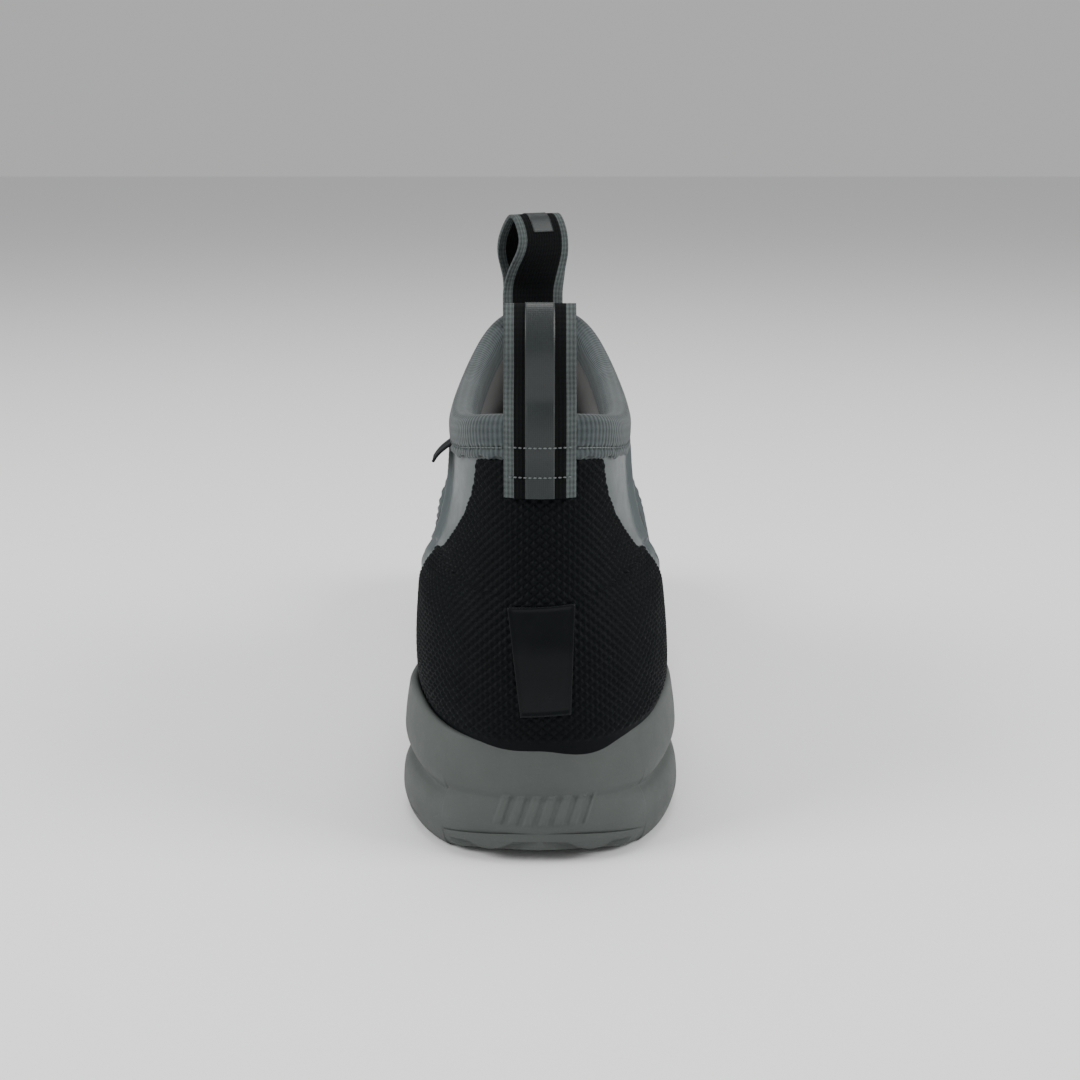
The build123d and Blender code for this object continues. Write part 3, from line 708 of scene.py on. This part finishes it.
def make_lining():
    """Knit lining of the shaft and foot, with a few soft wrinkles."""
    u, theta = wrapped_rows(150, 241, 5.8, 2.0, LAST - 1.2)
    points = skin(u, theta, 5.8)
    normal = -grid_normals(points)
    wrinkle = np.sin(points[..., 2] * 0.42 + np.sin(theta * 3) * 1.3) * np.sin(theta * 2 + 0.6) ** 2
    fade = smooth_step(130 - points[..., 2], 4, 20) * smooth_step(points[..., 2], 60, 80)
    points = points + normal * (wrinkle * fade * 0.35)[..., None]
    points[..., 2] = np.maximum(points[..., 2], 34.6)
    uv = np.stack([theta * 27.0 * MM, points[..., 2] * MM], axis=-1)
    obj = grid_object("lining_knit_sock", points, closed=True, uv=uv, thickness=1.1)
    return settle(obj, paint("lining"), "boot", "lining_knit", "lining_bootie")


def collar_ring(theta, depth, drop):
    """Points round the collar, a depth inside the form and a drop below its top line; both may vary."""
    return skin(top_sections(theta, depth, drop), theta, depth)


# Side profile of the rolled binding as (depth, drop), from inside the collar over its top to the free lip.
BINDING_PROFILE = [
    (6.9, 9.5), (7.0, 6.0), (6.9, 3.0), (6.5, 1.0), (5.6, -0.35), (4.2, -1.05), (2.6, -1.3), (1.0, -1.0),
    (-0.3, -0.2), (-1.2, 1.2), (-1.7, 3.0), (-1.75, 5.0), (-1.65, 7.0), (-1.3, 8.0), (-1.05, 8.5),
    (-1.3, 9.0), (-1.55, 9.9), (-1.45, 10.9), (-0.9, 11.4),
]


def make_binding():
    """Knit tape rolled over the collar, drawn in at its seam, with a free wavy lower edge."""
    columns = 421
    theta = np.linspace(0, 2 * np.pi, columns) + 1e-4
    profile = catmull(np.array(BINDING_PROFILE), np.linspace(0, len(BINDING_PROFILE) - 1, 55))
    wave = 0.35 * np.sin(theta * 23) + 0.25 * np.sin(theta * 37 + 1.0)
    pucker = 0.12 * np.sin(theta * 96)
    rings = []
    for depth, drop in profile:
        loose = smooth_step(np.array(drop), 8.0, 11.0) if depth < 1 else 0.0
        seam = math.exp(-((drop - 8.5) / 1.0) ** 2) if depth < 1 else 0.0
        ring_depth = depth - pucker * seam * 2
        rings.append(collar_ring(theta, ring_depth, drop + wave * loose))
    points = np.array(rings)
    around = np.cumsum(np.linalg.norm(np.diff(points[10], axis=0, prepend=points[10][:1]), axis=1))
    along = np.cumsum(np.concatenate([[0], np.linalg.norm(np.diff(profile, axis=0), axis=1)]))
    uv = np.stack(np.meshgrid(around * MM, along * MM), axis=-1)
    obj = grid_object("collar_binding_tape", points[:, ::-1], closed=True, uv=uv[:, ::-1], thickness=0.8)
    return settle(obj, paint("binding"), "boot", "binding_knit", "collar_binding")


def stitch_row(name, centres, directions, normals, length, thickness):
    """A row of thread stitches lying along their seam."""
    mesh = bmesh.new()
    for centre, direction, normal in zip(centres, directions, normals):
        made = bmesh.ops.create_icosphere(mesh, subdivisions=1, radius=1.0)
        x_axis = Vector(direction).normalized()
        z_axis = Vector(normal).normalized()
        y_axis = z_axis.cross(x_axis).normalized()
        for vert in made["verts"]:
            local = vert.co.copy()
            vert.co = (Vector(centre) + x_axis * local.x * length / 2 + y_axis * local.y * thickness / 2
                       + z_axis * local.z * thickness / 2) * MM
    return finish_mesh(name, mesh)


def make_binding_seam():
    """Lock stitches of the binding's seam, all round but under the straps."""
    count = 150
    theta = np.linspace(0, 2 * np.pi, count, endpoint=False) + 1e-3
    ring = collar_ring(theta, -1.35, 8.5)
    ahead = np.roll(ring, -1, axis=0) - np.roll(ring, 1, axis=0)
    outward = ring - np.array([0.0, -75.0, 0.0])
    outward[:, 2] = 0
    keep = (np.abs(ring[:, 0]) > 10.6) | ((ring[:, 1] > -100) & (ring[:, 1] < -30))
    row = stitch_row("binding_lock_stitches", ring[keep], ahead[keep], outward[keep], 1.9, 0.5)
    return settle(row, paint("thread"), "boot", "thread", "binding_stitching")


# Side path of each pull loop as (y, z), from its outer sewn end over the fold to its inner end.
REAR_PATH = np.array([
    (-139.4, 107.3), (-139.2, 111.0), (-139.1, 115.0), (-139.3, 119.0), (-140.0, 123.0), (-140.3, 127.0),
    (-140.1, 131.0), (-139.4, 135.0), (-139.9, 139.0), (-141.1, 144.0), (-141.6, 149.0), (-140.6, 154.0),
    (-138.0, 158.6), (-135.3, 161.2), (-132.6, 160.2), (-129.6, 156.0), (-128.0, 150.0), (-127.9, 144.0),
    (-129.0, 138.0), (-129.3, 134.0), (-128.6, 129.0), (-128.5, 122.0), (-128.5, 113.0),
])
FRONT_PATH = np.array([
    (6.8, 124.0), (3.6, 129.0), (0.3, 134.0), (-2.3, 139.0), (-4.6, 144.0), (-6.8, 148.5),
    (-8.8, 152.5), (-9.0, 157.0), (-7.6, 162.0), (-7.2, 167.0), (-8.4, 172.0), (-11.4, 176.6),
    (-14.4, 179.2), (-17.2, 178.2), (-19.9, 173.6), (-20.8, 167.0), (-19.8, 161.0), (-18.4, 155.0),
    (-18.6, 151.0), (-18.8, 147.5), (-17.6, 143.0), (-14.4, 137.0), (-9.8, 130.0),
])


def strap_points(path, across, rows, centre_x, twist, pivot, curl, lift=0.0):
    """A strap's grid of points: its side path, flat across, curled where it is sewn and twisted above."""
    dense = catmull(path, np.linspace(0, len(path) - 1, rows))
    step = np.gradient(dense, axis=0)
    step /= np.linalg.norm(step, axis=1)[:, None]
    outward = np.stack([-step[:, 1], step[:, 0]], axis=1)
    if curl < 0:
        outward = -outward
    points = np.zeros((rows, len(across), 3))
    free = smooth_step(dense[:, 1], pivot[1] - 3.0, pivot[1] + 10.0)[:, None]
    sag = (1 - free) * (across ** 2)[None, :] / (2 * abs(curl))
    points[..., 0] = centre_x + across[None, :]
    points[..., 1] = dense[:, :1] + lift * outward[:, :1] + np.sign(curl) * sag
    points[..., 2] = dense[:, 1:] + lift * outward[:, 1:]
    turn = np.radians(twist) * smooth_step(dense[:, 1], pivot[1] - 2.0, pivot[1] + 18.0)[:, None]
    x, y = points[..., 0] - centre_x, points[..., 1] - pivot[0]
    points[..., 0] = centre_x + x * np.cos(turn) - y * np.sin(turn)
    points[..., 1] = pivot[0] + x * np.sin(turn) + y * np.cos(turn)
    along = np.concatenate([[0], np.cumsum(np.linalg.norm(np.diff(dense, axis=0), axis=1))])
    uv = np.stack(np.broadcast_arrays(across[None, :] * MM, along[:, None] * MM), axis=-1)
    return points, uv


def make_strap(end, path, centre_x, twist, pivot, curl):
    """A webbing pull loop sewn at both ends, with its reflective tape."""
    sizes, colour = bpy.context.scene.boot_sizes, bpy.context.scene.boot_colours
    half = sizes.webbing_width / MM / 2
    across = np.linspace(-half, half, 31)
    points, uv = strap_points(path, across, 230, centre_x, twist, pivot, curl)
    ribs = 0.07 * np.cos(across * 2 * np.pi / 1.05)[None, :]
    points[..., 1] += -np.sign(curl) * ribs * 0.6
    strap = grid_object(f"{end}_loop_webbing", points, uv=uv)
    wall = strap.modifiers.new("wall", "SOLIDIFY")
    wall.thickness = 1.15 * MM
    wall.offset = 0.0
    apply_modifiers(strap)
    settle(strap, webbing_material(colour), None, "webbing", f"{end}_strap_outer_end",
           f"{end}_strap_inner_end", f"{end}_pull_loop")
    tape_half = sizes.tape_width / MM / 2
    outer = int(len(path) * 0.62)
    tape_points, tape_uv = strap_points(path[:outer + 1], np.linspace(-tape_half, tape_half, 15), 150, centre_x,
                                        twist, pivot, curl, lift=0.72)
    tape = grid_object(f"{end}_loop_reflective_tape", tape_points, uv=tape_uv)
    wall = tape.modifiers.new("wall", "SOLIDIFY")
    wall.thickness = 0.3 * MM
    wall.offset = 0.0
    apply_modifiers(tape)
    settle(tape, paint("tape"), None, "reflective_tape", f"{end}_loop_tape")
    for piece in (strap, tape):
        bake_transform(piece)
    return strap, tape


def make_strap_seams(end, path, centre_x, pivot, curl, heights):
    """Two rows of stitches across each strap's outer end."""
    across = np.arange(-8.4, 8.5, 1.4)
    points, _ = strap_points(path, across, 400, centre_x, 0.0, pivot, curl, lift=0.98)
    centres = []
    for height in heights:
        row = int(np.argmin(np.abs(points[:200, len(across) // 2, 2] - height)))
        centres.extend(points[row])
    centres = np.array(centres)
    count = len(centres)
    obj = stitch_row(f"{end}_strap_stitches", centres, [(1, 0, 0)] * count, [(0, -1, 0)] * count, 1.15, 0.55)
    return settle(obj, paint("thread"), "boot", "thread", f"{end}_strap_stitching")


def make_label():
    """Small folded label that sticks out under the binding."""
    low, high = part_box("side_label")
    mesh = bmesh.new()
    across, down = 13, 13
    bmesh.ops.create_grid(mesh, x_segments=across - 1, y_segments=down - 1, size=1.0)
    top = Vector((high.x + 0.0030, (low.y + high.y) / 2, high.z + 0.0016))
    tip = Vector((low.x + 0.0006, top.y, low.z + 0.0004))
    for vert in mesh.verts:
        share = (vert.co.y + 1) / 2
        place = top.lerp(tip, share)
        bow = math.sin(share * math.pi) * 0.0008
        vert.co = place + Vector((-bow, vert.co.x * 0.006, 0.0002 * math.sin(vert.co.x * 4)))
    obj = finish_mesh("side_label_fold", mesh)
    wall = obj.modifiers.new("wall", "SOLIDIFY")
    wall.thickness = 0.0009
    wall.offset = 0.0
    soft = obj.modifiers.new("round", "BEVEL")
    soft.width = 0.0003
    soft.segments = 2
    return settle(obj, paint("label"), "label", "label_weave", "side_label")


# height, inset from the plan, notch depth at the sides
SOLE_WALL = np.array([
    (0.0, 3.4, 0.0), (1.2, 1.9, 0.0), (3.2, 0.9, 0.0), (6.0, 0.1, 0.0), (8.5, 0.0, 0.0), (11.5, 0.2, 0.0),
    (14.0, 0.6, 0.1), (16.0, 1.1, 0.7), (17.4, 1.5, 1.9), (18.2, 1.6, 2.3), (19.2, 1.4, 1.7), (21.0, 1.0, 0.7),
    (24.0, 0.8, 0.1), (28.0, 1.1, 0.0), (32.0, 1.7, 0.0), (36.0, 2.5, 0.0),
])


def sole_plan_points(places):
    """Plan of the sole and its outward normals."""
    plan = catmull(SOLE_PLAN, places, closed=True)
    ahead = catmull(SOLE_PLAN, places + 0.02, closed=True) - catmull(SOLE_PLAN, places - 0.02, closed=True)
    normal = np.stack([ahead[:, 1], -ahead[:, 0]], axis=1)
    return plan, normal / np.linalg.norm(normal, axis=1)[:, None]


def make_midsole():
    """Cup sole with its sculpted side notch, rounded foot edge and soft upper lip."""
    places = np.concatenate([np.linspace(-1.4, 1.4, 260), np.linspace(1.4, len(SOLE_PLAN) - 1.4, 260)[1:]])
    plan, normal = sole_plan_points(places)
    cup = line_at(CUP_LINE, plan[:, 1])
    tread = line_at(TREAD_LINE, plan[:, 1])
    wall = catmull(SOLE_WALL, np.linspace(0, len(SOLE_WALL) - 1, 76))
    side = np.abs(normal[:, 0]) ** 3
    rings = []

    def ring(height, inset):
        rings.append(np.stack([plan[:, 0] - normal[:, 0] * inset, plan[:, 1] - normal[:, 1] * inset, height], axis=1))

    ring(tread + 5.2, 9.0)
    ring(tread + 5.2, 4.0)
    for height, inset, notch in wall:
        share = np.clip(height / 36.0, 0, 1)
        level = tread * (1 - share) + height * (cup - 1.4) / 36.0 * share + height * (1 - share)
        ring(level, inset + notch * side)
    for rise, inset in ((-0.9, 2.7), (-0.35, 3.0), (-0.05, 3.5), (0.0, 4.1), (-0.2, 4.8), (-1.2, 5.6), (-5.0, 6.4)):
        ring(cup + rise, inset)
    points = np.array(rings)
    points += sole_ribs(points)
    points[..., 2] = np.maximum(points[..., 2], 0.0)
    obj = grid_object("cup_sole", points, closed=True)
    return settle(obj, paint("sole"), "boot", "midsole_foam", "midsole")


def sole_ribs(points):
    """Plain slanted ribs at the back of the sole, raised from its wall."""
    x, y, z = points[..., 0], points[..., 1], points[..., 2]
    slanted = x - (z - 17.0) * 0.35
    pitch = 4.4
    inside = smooth_step(14.5 - np.abs(slanted - 0.8), 0.0, 0.8) * (y < -120)
    inside = inside * smooth_step(z, 12.0, 12.8) * (1 - smooth_step(z, 20.4, 21.2))
    wave = np.abs((slanted / pitch) % 1 - 0.5) * 2
    height = 0.55 * inside * (1 - smooth_step(wave, 0.42, 0.62))
    return np.stack([np.zeros_like(x), -height, np.zeros_like(x)], axis=-1)


CARRIED = {
    "outsole_heel": "sole", "outsole_forefoot": "sole", "shank": "board", "insole_board": "board",
    "footbed": "footbed", "heel_counter": "board", "toe_puff": "board", "foam_layer": "foam",
}


def finish_carried_nodes():
    """Give each CAD piece that stays its own finish."""
    for node, finish in CARRIED.items():
        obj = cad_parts[node]
        for slot in obj.material_slots:
            slot.material = paint(finish)


def make_stage():
    """Pale flat floor, soft lights and the camera."""
    mesh = bmesh.new()
    bmesh.ops.create_grid(mesh, x_segments=1, y_segments=1, size=6.0)
    floor = finish_mesh("floor", mesh)
    material = bpy.data.materials.new("pale_floor")
    material.use_nodes = True
    shader = material.node_tree.nodes["Principled BSDF"]
    shader.inputs["Base Color"].default_value = (0.86, 0.86, 0.86, 1)
    shader.inputs["Roughness"].default_value = 0.9
    floor.data.materials.append(material)
    world = bpy.data.worlds.new("studio")
    bpy.context.scene.world = world
    world.use_nodes = True
    world.node_tree.nodes["Background"].inputs[0].default_value = (1, 1, 1, 1)
    world.node_tree.nodes["Background"].inputs[1].default_value = 0.5
    target = Vector((0, -0.05, 0.08))
    lights = (("key", (-1.1, -0.5, 0.9), 0.7, 16.0), ("fill", (1.1, -0.4, 0.8), 0.7, 14.0),
              ("top", (0.0, 0.15, 1.5), 0.9, 12.0))
    for name, place, size, power in lights:
        data = bpy.data.lights.new(name, "AREA")
        data.size = size
        data.energy = power
        light = bpy.data.objects.new(name, data)
        light.location = place
        light.rotation_euler = (target - Vector(place)).to_track_quat("-Z", "Y").to_euler()
        bpy.context.scene.collection.objects.link(light)
    data = bpy.data.cameras.new("camera")
    data.sensor_width = 36.0
    data.lens = 36.0 * 1671.0 / 1080.0
    camera = bpy.data.objects.new("camera", data)
    camera.location = (0.0, -0.600, 0.211)
    camera.rotation_euler = (math.radians(90 - 14.1), 0.0, 0.0)
    bpy.context.scene.collection.objects.link(camera)
    bpy.context.scene.camera = camera


# ---------------------------------------------------------------- settings, operators and panel
def colour_property(name, description, default):
    """A colour that the panel shows."""
    return bpy.props.FloatVectorProperty(
        name=name, description=description, subtype="COLOR", size=3, min=0.0, max=1.0, default=default)


class BootColours(bpy.types.PropertyGroup):
    """Colours of the boot's finishes."""
    upper: colour_property("Upper", "Smooth rubber of the upper", (0.046, 0.059, 0.061))
    sole: colour_property("Sole", "Matt rubber of the sole", (0.062, 0.070, 0.066))
    overlay: colour_property("Overlay", "Black rubber of the heel and toe overlays", (0.0025, 0.0035, 0.0042))
    gore: colour_property("Gore", "Stretch panels at the sides", (0.006, 0.009, 0.008))
    binding: colour_property("Binding", "Knit tape of the collar", (0.060, 0.073, 0.075))
    lining: colour_property("Lining", "Knit lining", (0.055, 0.054, 0.051))
    webbing: colour_property("Webbing", "Black of the pull loops", (0.0025, 0.003, 0.0035))
    webbing_edge: colour_property("Webbing edge", "Grey edges of the pull loops", (0.085, 0.098, 0.098))
    tape: colour_property("Tape", "Reflective tape on the pull loops", (0.016, 0.021, 0.021))
    thread: colour_property("Thread", "Stitching thread", (0.11, 0.125, 0.125))
    label: colour_property("Label", "Folded side label", (0.012, 0.014, 0.016))


def length_property(name, description, default):
    """A length that the panel shows."""
    return bpy.props.FloatProperty(name=name, description=description, default=default, unit="LENGTH")


class BootSizes(bpy.types.PropertyGroup):
    """Sizes of the boot's repeated details."""
    webbing_width: length_property("Webbing width", "Width of each pull loop", 0.020)
    tape_width: length_property("Tape width", "Width of the reflective tape", 0.0083)
    lattice_wide: length_property("Lattice width", "Width of one pyramid of the lattice", 0.0032)
    lattice_tall: length_property("Lattice height", "Height of one pyramid of the lattice", 0.0026)


class BOOT_OT_upper(bpy.types.Operator):
    """Build the rubber upper and its side gores"""
    bl_idname = "boot.upper"
    bl_label = "Upper and gores"

    def execute(self, context):
        make_upper()
        make_gore("gore_medial_panel", -1)
        make_gore("gore_lateral_panel", 1)
        return {"FINISHED"}


class BOOT_OT_overlays(bpy.types.Operator):
    """Build the black heel overlay, its badge and the toe bumper"""
    bl_idname = "boot.overlays"
    bl_label = "Overlays"

    def execute(self, context):
        make_heel_overlay()
        make_toe_bumper()
        make_badge()
        return {"FINISHED"}


class BOOT_OT_collar(bpy.types.Operator):
    """Build the lining, the collar binding and its seam"""
    bl_idname = "boot.collar"
    bl_label = "Collar and lining"

    def execute(self, context):
        make_lining()
        make_binding()
        make_binding_seam()
        return {"FINISHED"}


class BOOT_OT_loops(bpy.types.Operator):
    """Build the rear and front pull loops"""
    bl_idname = "boot.loops"
    bl_label = "Pull loops"

    def execute(self, context):
        rear, front = (-134.6, 136.6), (-14.0, 154.5)
        make_strap("rear", REAR_PATH, 0.0, 0.0, rear, 21.0)
        make_strap_seams("rear", REAR_PATH, 0.0, rear, 21.0, (122.0, 113.4))
        make_strap("front", FRONT_PATH, -2.5, 36.0, front, -17.0)
        make_strap_seams("front", FRONT_PATH, -2.5, front, -17.0, (138.0, 129.5))
        return {"FINISHED"}


class BOOT_OT_label(bpy.types.Operator):
    """Build the folded side label"""
    bl_idname = "boot.label"
    bl_label = "Side label"

    def execute(self, context):
        make_label()
        return {"FINISHED"}


class BOOT_OT_sole(bpy.types.Operator):
    """Build the cup sole and finish the pieces that stay as the frame has them"""
    bl_idname = "boot.sole"
    bl_label = "Sole"

    def execute(self, context):
        make_midsole()
        finish_carried_nodes()
        return {"FINISHED"}


class BOOT_OT_stage(bpy.types.Operator):
    """Add the floor, the lights and the camera"""
    bl_idname = "boot.stage"
    bl_label = "Stage"

    def execute(self, context):
        make_stage()
        return {"FINISHED"}


OPERATORS = (BOOT_OT_upper, BOOT_OT_overlays, BOOT_OT_collar, BOOT_OT_loops, BOOT_OT_label, BOOT_OT_sole,
             BOOT_OT_stage)


class BOOT_PT_panel(bpy.types.Panel):
    """Buttons for every piece, with the sizes and colours they read"""
    bl_idname = "BOOT_PT_panel"
    bl_label = "Ankle deck boot"
    bl_space_type = "VIEW_3D"
    bl_region_type = "UI"
    bl_category = "Boot"

    def draw(self, context):
        for operator in OPERATORS:
            self.layout.operator(operator.bl_idname)
        for group in (context.scene.boot_sizes, context.scene.boot_colours):
            for key in group.__annotations__:
                self.layout.prop(group, key)


CLASSES = (BootColours, BootSizes, *OPERATORS, BOOT_PT_panel)


def register():
    """Register the classes and hang the settings on the scene."""
    for cls in CLASSES:
        bpy.utils.register_class(cls)
    bpy.types.Scene.boot_colours = bpy.props.PointerProperty(type=BootColours)
    bpy.types.Scene.boot_sizes = bpy.props.PointerProperty(type=BootSizes)


def unregister():
    """Remove the settings and the classes."""
    del bpy.types.Scene.boot_colours
    del bpy.types.Scene.boot_sizes
    for cls in reversed(CLASSES):
        bpy.utils.unregister_class(cls)


def main():
    """Build everything in order."""
    register()
    for operator in OPERATORS:
        area, name = operator.bl_idname.split(".")
        getattr(getattr(bpy.ops, area), name)()


if __name__ == "__main__":
    main()
